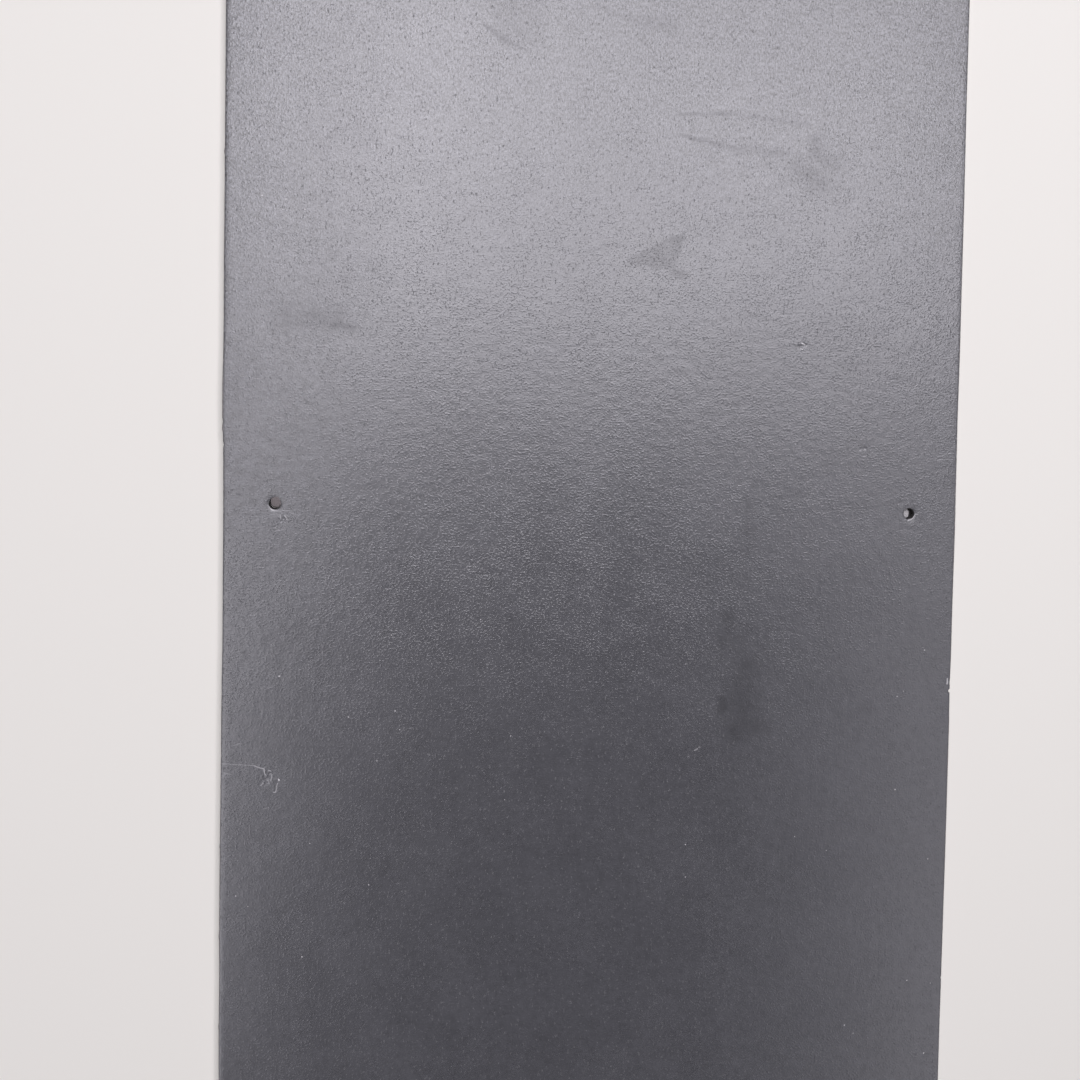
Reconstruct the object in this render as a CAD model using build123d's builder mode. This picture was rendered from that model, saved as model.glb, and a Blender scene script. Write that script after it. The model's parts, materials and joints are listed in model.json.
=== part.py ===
"""Fibre-cement roof slate for double-lap slating, nailed at mid-length and riveted at the tail.

The slate lies face up. +Y points to the head, the edge that goes towards the ridge, and
+Z is the normal of the weathered face. The origin is the middle of the back face.
All lengths are in millimetres.
"""

import os
from math import atan2, degrees

from build123d import *

# Sheet, measured on the back face, which the shear leaves a little larger than the face
slate_length = 600.0
slate_width = 300.0
thickness = 4.0

# Sheared edges: they lean out towards the back, and the coated arris is rolled over
shear_lean = 0.3
arris_round = 0.6

# Slating pattern that the holes are set out for
head_lap = 100.0
nail_above_head = 10.0  # the nails clear the head of the course below by this much

# Nail holes, one near each side
nail_hole_diameter = 4.5
nail_side_margin = 20.5

# Hole for the copper disc rivet that holds the tail down
rivet_hole_diameter = 4.5
rivet_tail_margin = 25.0

# Shape that the punch leaves: a rolled rim on the face and a broken-out cone on the back
punch_roll = 0.4
break_out_width = 1.5
break_out_depth = 0.9

# Positions worked out from the slating pattern
gauge = (slate_length - head_lap) / 2
tail_y = -slate_length / 2
nail_y = tail_y + gauge + head_lap + nail_above_head
rivet_y = tail_y + rivet_tail_margin
nail_spacing = slate_width - 2 * nail_side_margin
shear_angle = degrees(atan2(shear_lean, thickness))
break_out_angle = 2 * degrees(atan2(break_out_width, break_out_depth))

back_plane = Plane(origin=(0, 0, 0), x_dir=(1, 0, 0), z_dir=(0, 0, -1))


def punch(diameter):
    """Punches through from the face, at the current locations on the back plane."""
    radius = diameter / 2
    CounterSinkHole(radius, radius + break_out_width, counter_sink_angle=break_out_angle)


with BuildPart() as slate:
    # Sheet, cut to size by a shear
    with BuildSketch():
        Rectangle(slate_width, slate_length)
    extrude(amount=thickness, taper=shear_angle)
    face = slate.faces().sort_by(Axis.Z)[-1]
    fillet(face.edges(), radius=arris_round)

    # Punched holes; the back plane's own Y runs towards the tail
    with Locations(back_plane):
        with Locations((-nail_spacing / 2, -nail_y), (nail_spacing / 2, -nail_y)):
            punch(nail_hole_diameter)
        with Locations((0, -rivet_y)):
            punch(rivet_hole_diameter)
    face = slate.faces().sort_by(Axis.Z)[-1]
    fillet(face.inner_wires().edges(), radius=punch_roll)

slate.part.label = "slate"

os.makedirs("parts", exist_ok=True)
export_step(slate.part, "parts/slate.step")
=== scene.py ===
import json
import math

import bpy
import numpy as np
from mathutils import Euler, Matrix, Vector, noise
from mathutils.geometry import delaunay_2d_cdt


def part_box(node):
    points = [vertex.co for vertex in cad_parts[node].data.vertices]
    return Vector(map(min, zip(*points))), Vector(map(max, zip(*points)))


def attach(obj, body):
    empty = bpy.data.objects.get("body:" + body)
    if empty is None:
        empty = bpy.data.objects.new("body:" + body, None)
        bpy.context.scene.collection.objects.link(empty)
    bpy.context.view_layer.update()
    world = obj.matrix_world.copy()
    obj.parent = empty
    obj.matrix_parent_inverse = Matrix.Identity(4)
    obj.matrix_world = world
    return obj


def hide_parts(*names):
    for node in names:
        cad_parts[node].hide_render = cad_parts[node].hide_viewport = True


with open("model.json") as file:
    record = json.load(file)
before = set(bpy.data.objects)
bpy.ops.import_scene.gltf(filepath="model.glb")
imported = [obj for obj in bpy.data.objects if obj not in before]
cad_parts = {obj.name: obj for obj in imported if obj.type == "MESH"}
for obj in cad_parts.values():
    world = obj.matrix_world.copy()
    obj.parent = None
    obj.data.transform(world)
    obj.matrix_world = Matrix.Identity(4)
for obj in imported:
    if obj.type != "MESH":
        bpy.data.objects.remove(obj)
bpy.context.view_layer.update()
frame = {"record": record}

# lengths are in millimetres where no note says metres, and mm turns them into metres
mm = 0.001
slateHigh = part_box("slate")[1]
halfWidth = slateHigh.x / mm
halfLength = slateHigh.y / mm
thickness = slateHigh.z / mm
mounts = {mount["name"]: mount for mount in frame["record"]["mounts"]}


# camera, at the place the photograph was taken from

cameraPlace = {
    "position": (-70.7, 61.58, 433.18),  # a little left of the middle and level with the nail holes
    "turn": (-2.016, -6.047, 0.954),  # degrees about X, Y and Z, from looking straight down
    "lens": 35.83,
    "sensor": 36.0,
    "nearest": 10.0,  # nothing nearer than this is drawn
}


def addCamera(place):
    data = bpy.data.cameras.new("camera")
    data.lens = place["lens"]
    data.sensor_width = place["sensor"]
    data.clip_start = place["nearest"] * mm
    camera = bpy.data.objects.new("camera", data)
    camera.location = Vector(place["position"]) * mm
    camera.rotation_euler = Euler([math.radians(angle) for angle in place["turn"]])
    bpy.context.scene.collection.objects.link(camera)
    bpy.context.scene.camera = camera


addCamera(cameraPlace)
print("camera placed")


# light: a big softbox beyond the head of the slate and a strip box along each side

lightTint = (1.0, 0.97, 1.036)
# places and sizes in metres, slant in degrees, glow is the radiance
softboxes = {
    "headBox": {
        "at": (0.289, 0.785, 1.6), "aim": (0.0, 0.0, 0.0), "size": (1.44, 1.02), "slant": 0.0,
        "glow": 5.26,
    },
    "leftStrip": {
        "at": (-0.452, 0.256, 1.5), "aim": (0.0, 0.128, 0.0), "size": (0.35, 2.98), "slant": -14.2,
        "glow": 3.89,
    },
    "rightStrip": {
        "at": (0.964, -0.21, 1.5), "aim": (0.0, -0.105, 0.0), "size": (0.35, 2.38), "slant": 2.8,
        "glow": 1.7,
    },
}
# lengths in metres
room = {
    "fill": 0.0,  # what the room adds to the light on the slate
    "backdrop": (0.83, 0.80, 0.79),
    "backdropTop": 32.0,  # degrees above the horizon where the pale backdrop ends
    "backdropFade": 1.4,  # it is gone at this many times that height
    "floor": (0.812, 0.8, 0.742),
    "floorHalf": 6.0,
    "floorDrop": 0.0001,
    "litRadius": (0.7, 1.7),  # past the first the floor runs into the backdrop
}


def addSoftbox(name, box):
    width, length = box["size"]
    data = bpy.data.lights.new(name, "AREA")
    data.shape = "RECTANGLE"
    data.size = width
    data.size_y = length
    data.color = lightTint
    data.energy = box["glow"] * width * length * math.pi
    lamp = bpy.data.objects.new(name, data)
    # its long side runs along the slate, apart from its slant
    away = (Vector(box["at"]) - Vector(box["aim"])).normalized()
    across = Vector((0, 1, 0)).cross(away).normalized()
    facing = Matrix((across, away.cross(across), away)).transposed()
    turn = facing @ Matrix.Rotation(math.radians(box["slant"]), 3, "Z")
    lamp.matrix_world = Matrix.Translation(box["at"]) @ turn.to_4x4()
    bpy.context.scene.collection.objects.link(lamp)


for boxName, boxValues in softboxes.items():
    addSoftbox(boxName, boxValues)


def opaque(colour):
    return (*colour, 1.0)


class Tree:
    # makes the nodes of one material, world or group, and joins them
    def __init__(self, tree):
        self.tree = tree

    def join(self, source, target):
        self.tree.links.new(source, target)

    def add(self, kind, inputs=None, **settings):
        node = self.tree.nodes.new(kind)
        for key, value in settings.items():
            setattr(node, key, value)
        for key, value in (inputs or {}).items():
            if isinstance(value, bpy.types.NodeSocket):
                self.join(value, node.inputs[key])
            else:
                node.inputs[key].default_value = value
        return node

    def use(self, group, inputs):
        return self.add("ShaderNodeGroup", inputs, node_tree=group).outputs

    def math(self, operation, first, second=0.0, third=0.0):
        node = self.add("ShaderNodeMath", {0: first, 1: second, 2: third}, operation=operation)
        return node.outputs[0]

    def vector(self, operation, first, second=(0.0, 0.0, 0.0)):
        node = self.add("ShaderNodeVectorMath", {0: first, 1: second}, operation=operation)
        return node.outputs["Value" if operation in ("LENGTH", "DISTANCE", "DOT_PRODUCT") else "Vector"]

    def scaled(self, vector, factors):
        return self.vector("MULTIPLY", vector, factors)

    def parts(self, vector):
        return self.add("ShaderNodeSeparateXYZ", {0: vector}).outputs

    def ramp(self, value, low, high, toLow=0.0, toHigh=1.0):
        # smooth step from toLow at low to toHigh at high
        node = self.add(
            "ShaderNodeMapRange",
            {"Value": value, "From Min": low, "From Max": high, "To Min": toLow, "To Max": toHigh},
            interpolation_type="SMOOTHSTEP",
            clamp=False,
        )
        return node.outputs["Result"]

    def mixColour(self, factor, first, second, blend="MIX"):
        inputs = {0: factor, 6: first, 7: second}
        return self.add("ShaderNodeMix", inputs, data_type="RGBA", blend_type=blend).outputs[2]

    def mixVector(self, factor, first, second):
        return self.add("ShaderNodeMix", {0: factor, 4: first, 5: second}, data_type="VECTOR").outputs[1]

    def tinted(self, colour, mask, cover, tint):
        # lays a tint on the colour where the mask is, as far as it covers
        return self.mixColour(self.math("MULTIPLY", mask, cover), colour, opaque(tint))

    def noise(self, vector, scale, detail=2.0, roughness=0.5, flat=False):
        node = self.add(
            "ShaderNodeTexNoise",
            {"Vector": vector, "Scale": scale, "Detail": detail, "Roughness": roughness},
            noise_dimensions="2D" if flat else "3D",
        )
        return node.outputs["Fac"]

    def bump(self, height, depth):
        inputs = {"Height": height, "Distance": depth * mm, "Strength": 1.0}
        return self.add("ShaderNodeBump", inputs).outputs["Normal"]

    def place(self):
        # where the shaded point is on the slate
        return self.scaled(self.add("ShaderNodeTexCoord").outputs["Object"], (1 / mm, 1 / mm, 1 / mm))

    def seen(self):
        # 1 for what the camera sees, also in a reflection or through glass
        path = self.add("ShaderNodeLightPath").outputs
        direct = self.math("MAXIMUM", path["Is Camera Ray"], path["Is Glossy Ray"])
        return self.math("MAXIMUM", direct, path["Is Transmission Ray"])

    def finish(self, inputs):
        shader = self.add("ShaderNodeBsdfPrincipled", inputs)
        self.join(shader.outputs[0], self.add("ShaderNodeOutputMaterial").inputs["Surface"])


def newMaterial(name):
    material = bpy.data.materials.new(name)
    material.use_nodes = True
    material.node_tree.nodes.clear()
    return material, Tree(material.node_tree)


def addRoom(values):
    world = bpy.data.worlds.new("room")
    world.use_nodes = True
    world.node_tree.nodes.clear()
    tree = Tree(world.node_tree)
    height = tree.parts(tree.add("ShaderNodeTexCoord").outputs["Generated"])["Z"]
    top = math.sin(math.radians(values["backdropTop"]))
    pale = tree.ramp(height, top, top * values["backdropFade"], 1.0, 0.0)
    pale = tree.math("MULTIPLY", pale, tree.seen())
    colour = tree.mixColour(pale, opaque([values["fill"]] * 3), opaque(values["backdrop"]))
    background = tree.add("ShaderNodeBackground", {"Color": colour})
    tree.join(background.outputs[0], tree.add("ShaderNodeOutputWorld").inputs["Surface"])
    bpy.context.scene.world = world


def addFloor(values):
    half = values["floorHalf"]
    mesh = bpy.data.meshes.new("floor")
    corners = [(-half, -half, 0), (half, -half, 0), (half, half, 0), (-half, half, 0)]
    mesh.from_pydata(corners, [], [(0, 1, 2, 3)])
    floor = bpy.data.objects.new("floor", mesh)
    floor.location.z = -values["floorDrop"]
    material, tree = newMaterial("paleFloor")
    fromMiddle = tree.vector("LENGTH", tree.add("ShaderNodeTexCoord").outputs["Object"])
    far = tree.math("MULTIPLY", tree.ramp(fromMiddle, *values["litRadius"]), tree.seen())
    matt = tree.add("ShaderNodeBsdfDiffuse", {"Color": opaque(values["floor"])})
    glow = tree.add("ShaderNodeEmission", {"Color": opaque(values["backdrop"])})
    mixed = tree.add("ShaderNodeMixShader", {0: far, 1: matt.outputs[0], 2: glow.outputs[0]})
    tree.join(mixed.outputs[0], tree.add("ShaderNodeOutputMaterial").inputs["Surface"])
    mesh.materials.append(material)
    bpy.context.scene.collection.objects.link(floor)


addRoom(room)
addFloor(room)
bpy.context.scene.view_settings.view_transform = "Standard"
print("light, room and floor placed")


# the sheet: its outline, its sheared edge, its punched holes and what has happened to it

sheet = {
    "faceLevel": thickness - 0.06,  # the mean face
    "reliefTop": 0.055,  # its relief stays inside the solid
    "step": 2.1,  # from point to point of the face
    "fineStep": 0.42,  # the same where something has happened to it
    "stray": 0.16,  # how far the points are from an even net, in steps
    "dentRoom": (0.9, 0.6),  # fine points round a dent: times its longer side, and this much more
    "crumpleRoom": 1.3,  # and round a crumple, times its radius
    "seeds": {"net": 11, "patch": 40, "fleck": 5},
}
# the finishes of the sheet, by slot
slotOf = {"coat": 0, "edge": 1, "back": 2, "fleck": 3, "crumb": 4, "wall": 5}


holes = {
    "segments": 56,
    "outerRing": 6.2,  # where the face's even net begins
    "faceRings": (5.2, 4.4, 3.8, 3.3, 2.95),
    "dish": 0.1,  # how far the face is pulled down round the hole
    "dishReach": 0.6,
    "punchRoll": 0.4,
    "rollAngles": (0, 25, 50, 72, 90),
    "rollRough": 0.04,
    "wallHeights": (2.9, 2.3, 1.7, 1.2),
    "wallRough": 0.06,
    "breakOutDepth": 0.9,
    # the broken-out cone: out from the wall, height, raggedness
    "breakOutRows": ((0.55, 0.6, 0.15), (1.1, 0.25, 0.3), (1.5, 0.02, 0.55)),
    "backLevel": 0.02,
    "backSetIn": 0.4,  # the outer ring is this much smaller on the back
    "slant": 0.5,  # the wall runs this much towards the head on its way down
    "ragged": (1.5, 7, 2.2),  # closeness, step from hole to hole, seed
}


def holePlaces():
    nails, rivet = mounts["nail_holes"], mounts["rivet_hole"]
    reach = nails["dims"]["spacing_x_mm"] / 2
    nailY = nails["pos_m"][1] / mm
    nailRadius = nails["dims"]["hole_r_mm"]
    return [
        (-reach, nailY, nailRadius),
        (reach, nailY, nailRadius),
        (rivet["pos_m"][0] / mm, rivet["pos_m"][1] / mm, rivet["dims"]["r_mm"]),
    ]


def wander(points, size, seed):
    # smooth relief from -1 to 1 with swells about this size apart
    return np.array([noise.noise(Vector((x / size, y / size, seed))) for x, y in points])


def waves(points, kinds):
    return sum(height * wander(points, size, seed) for height, size, seed in kinds)


def ringWay(segments):
    # unit steps from the middle of a ring to its corners
    turn = np.arange(segments) / segments * 2 * math.pi
    return np.column_stack([np.cos(turn), np.sin(turn)])


outline = {
    "cornerRound": 0.9,
    "leastRound": 0.3,
    "cornerSteps": 5,
    "columnStep": 1.5,
    "closestColumns": 0.08,
    "nickReach": 1.6,  # the closer columns round a nick reach this many times its width
    "nickColumns": 13,
    "nickFlank": 0.45,
    "waver": ((0.03, 3.1, 0.3), (0.02, 1.1, 5.3)),  # depth, size and seed of small straying
    "leastSetback": 0.01,
}
# how the sheared edges stray, as measured on the photograph: along the edge, in from the outline
edgeDrift = {
    "left": [
        (-300, 0.21), (-170, 0.36), (-150, 0.24), (-125, 0.36), (-115, 0.16), (-83, 0.21), (-50, 0.36),
        (-10, 0.51), (5, 0.7), (60, 0.66), (74, 0.58), (87, 0.36), (93, 0.08), (99, 0.02), (106, 0.02),
        (118, 0.24), (130, 0.36), (155, 0.26), (180, 0.38), (246, 0.41), (300, 0.26),
    ],
    "right": [
        (-300, 0.34), (-172, 0.44), (-152, 0.42), (-110, 0.22), (-76, 0.09), (-28, 0.09), (-14, 0.34),
        (0, 0.14), (25, 0.18), (53, 0.02), (67, 0.12), (100, 0.28), (127, 0.08), (150, 0.16), (186, 0.16),
        (226, 0.39), (265, 0.4), (300, 0.24),
    ],
    "head": [(-150, 0.3), (-40, 0.15), (60, 0.3), (150, 0.2)],
    "tail": [(-150, 0.2), (-70, 0.3), (30, 0.12), (150, 0.28)],
}
# nicks and burrs on the edges: side, place along it, width, depth, which is below nought for a burr
edgeNicks = [
    ("left", 91.3, 1.5, 0.55), ("left", 89.2, 2.6, -0.35), ("left", 82.6, 1.6, 0.3),
    ("left", 195.6, 1.4, -0.3), ("left", -38.5, 1.6, 0.25), ("left", -75.0, 1.4, -0.2),
    ("left", -111.0, 1.8, -0.25), ("left", -148.0, 1.6, -0.15),
    ("right", -14.2, 1.4, 0.55), ("right", -10.5, 2.0, 0.15), ("right", -137.0, 1.2, 0.2),
    ("head", -88.0, 2.0, 0.35), ("head", 41.0, 1.4, 0.2),
    ("tail", -52.0, 1.6, 0.3), ("tail", 97.0, 2.4, 0.25),
]


def columnStops(half, side):
    reach = half - outline["cornerRound"]
    count = int(2 * reach / outline["columnStep"])
    stops = list(np.linspace(-reach, reach, count + 1))
    spread = np.linspace(-outline["nickReach"], outline["nickReach"], outline["nickColumns"])
    for nickSide, along, width, _ in edgeNicks:
        if nickSide == side:
            stops += [along + offset * width for offset in spread]
    stops = np.unique(np.round([stop for stop in stops if abs(stop) <= reach], 3))
    keep = np.concatenate([[True], np.diff(stops) > outline["closestColumns"]])
    return stops[keep] / reach


def outlineColumns():
    # each column of the edge: where it starts from, which way is out, which side it is on and where along it
    sides = [
        ("right", (1, 0), halfLength),
        ("head", (0, 1), halfWidth),
        ("left", (-1, 0), halfLength),
        ("tail", (0, -1), halfWidth),
    ]
    columns = []
    for index, (side, out, half) in enumerate(sides):
        along = (-out[1], out[0])  # anticlockwise
        for share in columnStops(half, side):
            start = (out[0] + along[0] * share, out[1] + along[1] * share)
            columns.append((*start, *out, side, share * half * (along[0] + along[1])))
        nextOut = sides[(index + 1) % len(sides)][1]
        corner = (out[0] + along[0], out[1] + along[1])
        for step in range(1, outline["cornerSteps"]):
            angle = step / outline["cornerSteps"] * math.pi / 2
            c, s = math.cos(angle), math.sin(angle)
            normal = (out[0] * c + nextOut[0] * s, out[1] * c + nextOut[1] * s)
            columns.append((*corner, *normal, side, half * (along[0] + along[1])))
    return columns


def edgeSetback(columns):
    # how far each column lies in from the straight outline
    setback = []
    for _, _, _, _, side, place in columns:
        stops, insets = zip(*edgeDrift[side])
        value = np.interp(place, stops, insets)
        for nickSide, along, width, depth in edgeNicks:
            if nickSide == side:
                value += depth * math.exp(-((place - along) / (width * outline["nickFlank"])) ** 4)
        for depth, size, seed in outline["waver"]:
            value += depth * noise.noise(Vector((place / size, len(side), seed)))
        setback.append(max(value, outline["leastSetback"]))
    return np.array(setback)


edge = {
    "flatInset": 3.0,  # in from the outline, where the face starts to dip towards the edge
    "dip": 0.06,
    "dipInsets": (2.3, 1.7, 1.2),
    "arrisRound": 0.4,
    "arrisAngles": (0, 24, 48, 70, 90),
    "coatEnd": 48,  # degrees round the arris that the coat reaches
    "arrisRough": 0.012,
    "lean": 0.08,
    # height and roughness of the rows down the wall
    "wallRows": ((2.9, 0.02), (2.35, 0.05), (1.8, 0.07), (1.25, 0.08), (0.7, 0.07), (0.25, 0.05)),
    # the turn to the back: inset, height, share of the setback, roughness, what shows
    "footRows": [
        (0.06, 0.04, 1.0, 0.03, "edge"),
        (0.5, 0.02, 0.8, 0.0, "back"),
        (2.4, 0.02, 0.0, 0.0, "back"),
    ],
    "torn": 0.6,  # how the rough rows stray: all along, and in coarse and fine tears
    "tears": ((1.0, 1.3, 3.3), (0.5, 0.45, 7.7)),  # height, size, seed
    "tearsAlong": 1.7,  # so that the tears go on round the corners
    "tearsDown": 1.4,
    "reliefLoss": 0.5,  # how much shallower the face's relief is at the arris
}


def edgeRows():
    # inset, height, share of the setback, roughness, what shows
    radius = edge["arrisRound"]
    level = sheet["faceLevel"] - edge["dip"]
    wallInset = edge["lean"] * (level - radius) / thickness
    rows = []
    for inset in (edge["flatInset"], *edge["dipInsets"]):
        share = (edge["flatInset"] - inset) / (edge["flatInset"] - wallInset - radius)
        rows.append((inset, sheet["faceLevel"] - edge["dip"] * share ** 2, share, 0.0, "coat"))
    for angle in edge["arrisAngles"]:
        turn = math.radians(angle)
        inset = wallInset + radius * (1 - math.sin(turn))
        height = level - radius * (1 - math.cos(turn))
        shows = "coat" if angle <= edge["coatEnd"] else "edge"
        rows.append((inset, height, 1.0, edge["arrisRough"] * angle / 90, shows))
    for height, rough in edge["wallRows"]:
        rows.append((edge["lean"] * height / thickness, height, 1.0, rough, "edge"))
    return rows + edge["footRows"]


# waviness of the pressed face: height, size, seed
faceWaves = ((0.022, 62, 1.7), (0.006, 13, 9.1))
# dents in the face, and bumps where the depth is below nought: x, y, length, width, turn in degrees, depth
dents = [
    (81.5, 128.1, 2.2, 1.1, 18, 0.3),
    (83.4, 128.5, 1.0, 0.6, 30, 0.2),
    (80.0, 128.0, 1.0, 0.6, -30, 0.1),
    (82.1, 126.5, 1.6, 0.5, 10, -0.05),
    (87.9, 129.1, 0.9, 0.7, 0, 0.14),
    (109.5, 86.8, 1.1, 0.8, 0, 0.16),
    (107.6, 86.4, 0.5, 1.4, -20, 0.1),
    (76.9, 93.8, 1.4, 1.1, 30, -0.05),
    (147.4, -10.6, 1.6, 0.9, 80, 0.14),
    (129.3, 54.9, 4.0, 0.6, -6, -0.05),
    (128.4, 53.6, 5.0, 0.8, 8, 0.07),
    (125.0, 55.2, 2.4, 0.5, 20, -0.04),
    (-124.2, 56.9, 4.2, 0.5, -10, 0.06),
    (-126.6, 53.2, 1.6, 0.4, 15, 0.05),
    (-124.6, 55.0, 1.8, 0.8, 55, -0.05),
    (-127.4, 54.7, 1.2, 0.7, 70, -0.05),
    (-128.6, 50.0, 2.8, 0.5, 6, 0.06),
]
# crumpled coat: x, y, radius, height of the crumpling
crumples = [
    (-125.4, 55.1, 2.6, 0.09),
    (-128.6, 50.4, 1.9, 0.06),
    (82.0, 128.0, 1.9, 0.09),
    (-131.4, -48.5, 3.4, 0.05),
    (148.2, -13.5, 2.6, 0.08),
]
crumpling = {"reach": 1.4, "foldSize": 1.1, "foldSharpness": 4, "sink": 0.6, "fade": 1.6}


def faceRelief(points):
    # gentle waviness of the pressed face, with its dents and crumpled spots
    relief = waves(points, faceWaves)
    x, y = points[:, 0], points[:, 1]
    for cx, cy, length, width, turn, depth in dents:
        c, s = math.cos(math.radians(turn)), math.sin(math.radians(turn))
        along = ((x - cx) * c + (y - cy) * s) / length * 2
        across = ((y - cy) * c - (x - cx) * s) / width * 2
        relief -= depth * np.exp(-(along ** 2 + across ** 2))
    for cx, cy, radius, height in crumples:
        near = np.hypot(x - cx, y - cy) / radius
        chosen = near < crumpling["reach"]
        if chosen.any():
            folds = wander(points[chosen], crumpling["foldSize"], cx)
            folds = 1 - crumpling["foldSharpness"] * np.abs(folds) - crumpling["sink"]
            relief[chosen] += height * folds * np.exp(-near[chosen] ** 2 * crumpling["fade"])
    return np.minimum(relief, sheet["reliefTop"])


def hexPoints(step, halfX, halfY, seed):
    rng = np.random.default_rng(seed)
    rise = step * math.sqrt(3) / 2
    rows = []
    for index, y in enumerate(np.arange(-halfY, halfY, rise)):
        x = np.arange(-halfX + (index % 2) * step / 2, halfX, step)
        rows.append(np.column_stack([x, np.full_like(x, y)]))
    points = np.concatenate(rows)
    return points + rng.uniform(-sheet["stray"], sheet["stray"], points.shape) * step


def patchPoints(cx, cy, radius, seed):
    points = hexPoints(sheet["fineStep"], radius, radius, seed)
    points = points[np.hypot(points[:, 0], points[:, 1]) < radius]
    return points + (cx, cy)


def clearOf(points, places, gap):
    keep = np.ones(len(points), bool)
    for cx, cy, radius in places:
        keep &= np.hypot(points[:, 0] - cx, points[:, 1] - cy) > radius + gap
    return points[keep]


samePoint = 1e-7  # points nearer than this count as one
leastShift = 1e-3  # a point that was moved further was joined to another


def fillBetween(loops, inside, circles):
    # Delaunay triangles over the points within the first loop, without those inside the circles
    points = np.concatenate(loops + [inside])
    edges = []
    start = 0
    for loop in loops:
        edges += [(start + i, start + (i + 1) % len(loop)) for i in range(len(loop))]
        start += len(loop)
    result = delaunay_2d_cdt([Vector(point) for point in points], edges, [], 0, samePoint)
    places = np.array([tuple(place) for place in result[0]])
    triangles = np.array(result[2])
    if len(places) != len(points) or np.abs(places - points).max() > leastShift:
        raise ValueError("two points of the face lie on each other")
    middles = places[triangles].mean(axis=1)
    keep = np.ones(len(triangles), bool)
    for cx, cy, radius in circles:
        keep &= np.hypot(middles[:, 0] - cx, middles[:, 1] - cy) > radius
    return triangles[keep]


class SheetMesh:
    # gathers the corners and faces of the slate; a loop is its first corner's number and its points
    def __init__(self):
        self.corners = []
        self.faces = []
        self.slots = []

    def addCorners(self, points, heights):
        first = sum(len(block) for block in self.corners)
        self.corners.append(np.column_stack([points, heights]))
        return first

    def addFace(self, numbers, slot):
        self.faces.append(numbers)
        self.slots.append(slotOf[slot])

    def addStrip(self, above, below, count, slot):
        # quads between two closed loops of count corners
        for i in range(count):
            j = (i + 1) % count
            self.addFace((above + i, below + i, below + j, above + j), slot)

    def fill(self, loops, inside, heights, ringRadius):
        # a flat part: corners at the points inside, and triangles that join them to the loops
        circles = [(cx, cy, ringRadius - gaps["insideRing"]) for cx, cy, _ in holePlaces()]
        triangles = fillBetween([points for _, points in loops], inside, circles)
        insideFirst = self.addCorners(inside, heights)
        numbers = [first + np.arange(len(points)) for first, points in loops]
        numbers = np.concatenate(numbers + [insideFirst + np.arange(len(inside))])
        return numbers[triangles], insideFirst

    def make(self, name):
        mesh = bpy.data.meshes.new(name)
        mesh.from_pydata((np.concatenate(self.corners) * mm).tolist(), [], self.faces)
        mesh.polygons.foreach_set("material_index", self.slots)
        mesh.polygons.foreach_set("use_smooth", [True] * len(self.faces))
        mesh.update()
        piece = bpy.data.objects.new(name, mesh)
        bpy.context.scene.collection.objects.link(piece)
        return piece


def shearEdge(body):
    # the sheared edge, row by row from the face to the back
    columns = outlineColumns()
    setback = edgeSetback(columns)
    base = np.array([column[:2] for column in columns])
    out = np.array([column[2:4] for column in columns])
    count = len(columns)
    loops = []
    for inset, height, share, rough, shows in edgeRows():
        # columns of the straight sides keep their place along, the corner ones turn about the corner
        radius = max(outline["cornerRound"] - inset, outline["leastRound"])
        points = base * (halfWidth - inset - radius, halfLength - inset - radius) + out * radius
        push = setback * share
        if rough:
            along = points[:, 0] + points[:, 1] * edge["tearsAlong"]
            tears = np.column_stack([along, np.full(count, height * edge["tearsDown"])])
            push = push + rough * (edge["torn"] + waves(tears, edge["tears"]))
        points = points - out * push[:, None]
        heights = np.full(count, height)
        if shows == "coat":
            heights = heights + faceRelief(points) * (1 - share * edge["reliefLoss"])
        loops.append((body.addCorners(points, heights), points, shows))
    for (above, _, _), (below, _, shows) in zip(loops, loops[1:]):
        body.addStrip(above, below, count, shows)
    return loops[0][:2], loops[-1][:2]


def holeRows(radius):
    # reach from the middle, height, raggedness, what shows
    level = sheet["faceLevel"]
    roll = holes["punchRoll"]
    rows = []
    for reach in (holes["outerRing"], *holes["faceRings"]):
        sunk = holes["dish"] * math.exp(-(reach - radius - roll) / holes["dishReach"])
        rows.append((reach, level - sunk, 0.0, "coat"))
    for angle in holes["rollAngles"]:
        bend = math.radians(angle)
        reach = radius + roll * (1 - math.sin(bend))
        rows.append((reach, level - holes["dish"] - roll * (1 - math.cos(bend)), holes["rollRough"], "coat"))
    for height in (*holes["wallHeights"], holes["breakOutDepth"]):
        rows.append((radius, height, holes["wallRough"], "wall"))
    for out, height, rough in holes["breakOutRows"]:
        rows.append((radius + out, height, rough, "edge"))
    rows.append((holes["outerRing"] - holes["backSetIn"], holes["backLevel"], 0.0, "back"))
    return rows


def slanted(reach, height, shows):
    # how far a ring has moved towards the head
    if shows == "edge":
        return holes["slant"] * height / holes["breakOutDepth"]
    if reach < holes["faceRings"][0]:
        level = sheet["faceLevel"]
        return holes["slant"] * min(max((level - height) / (level - holes["breakOutDepth"]), 0), 1)
    return 0.0


def punchHole(body, number, cx, cy, radius):
    segments = holes["segments"]
    way = ringWay(segments)
    close, step, seed = holes["ragged"]
    ragged = wander(way * close + number * step, 1.0, seed)
    loops = []
    for reach, height, rough, shows in holeRows(radius):
        middle = np.array([cx, cy]) + (0.0, slanted(reach, height, shows))
        points = middle + way * (reach + rough * ragged)[:, None]
        heights = np.full(segments, height)
        if shows == "coat":
            heights = heights + faceRelief(points)
        loops.append((body.addCorners(points, heights), points, shows))
    for (outer, _, _), (inner, _, shows) in zip(loops, loops[1:]):
        body.addStrip(inner, outer, segments, shows)
    return loops[0][:2], loops[-1][:2]


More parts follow.
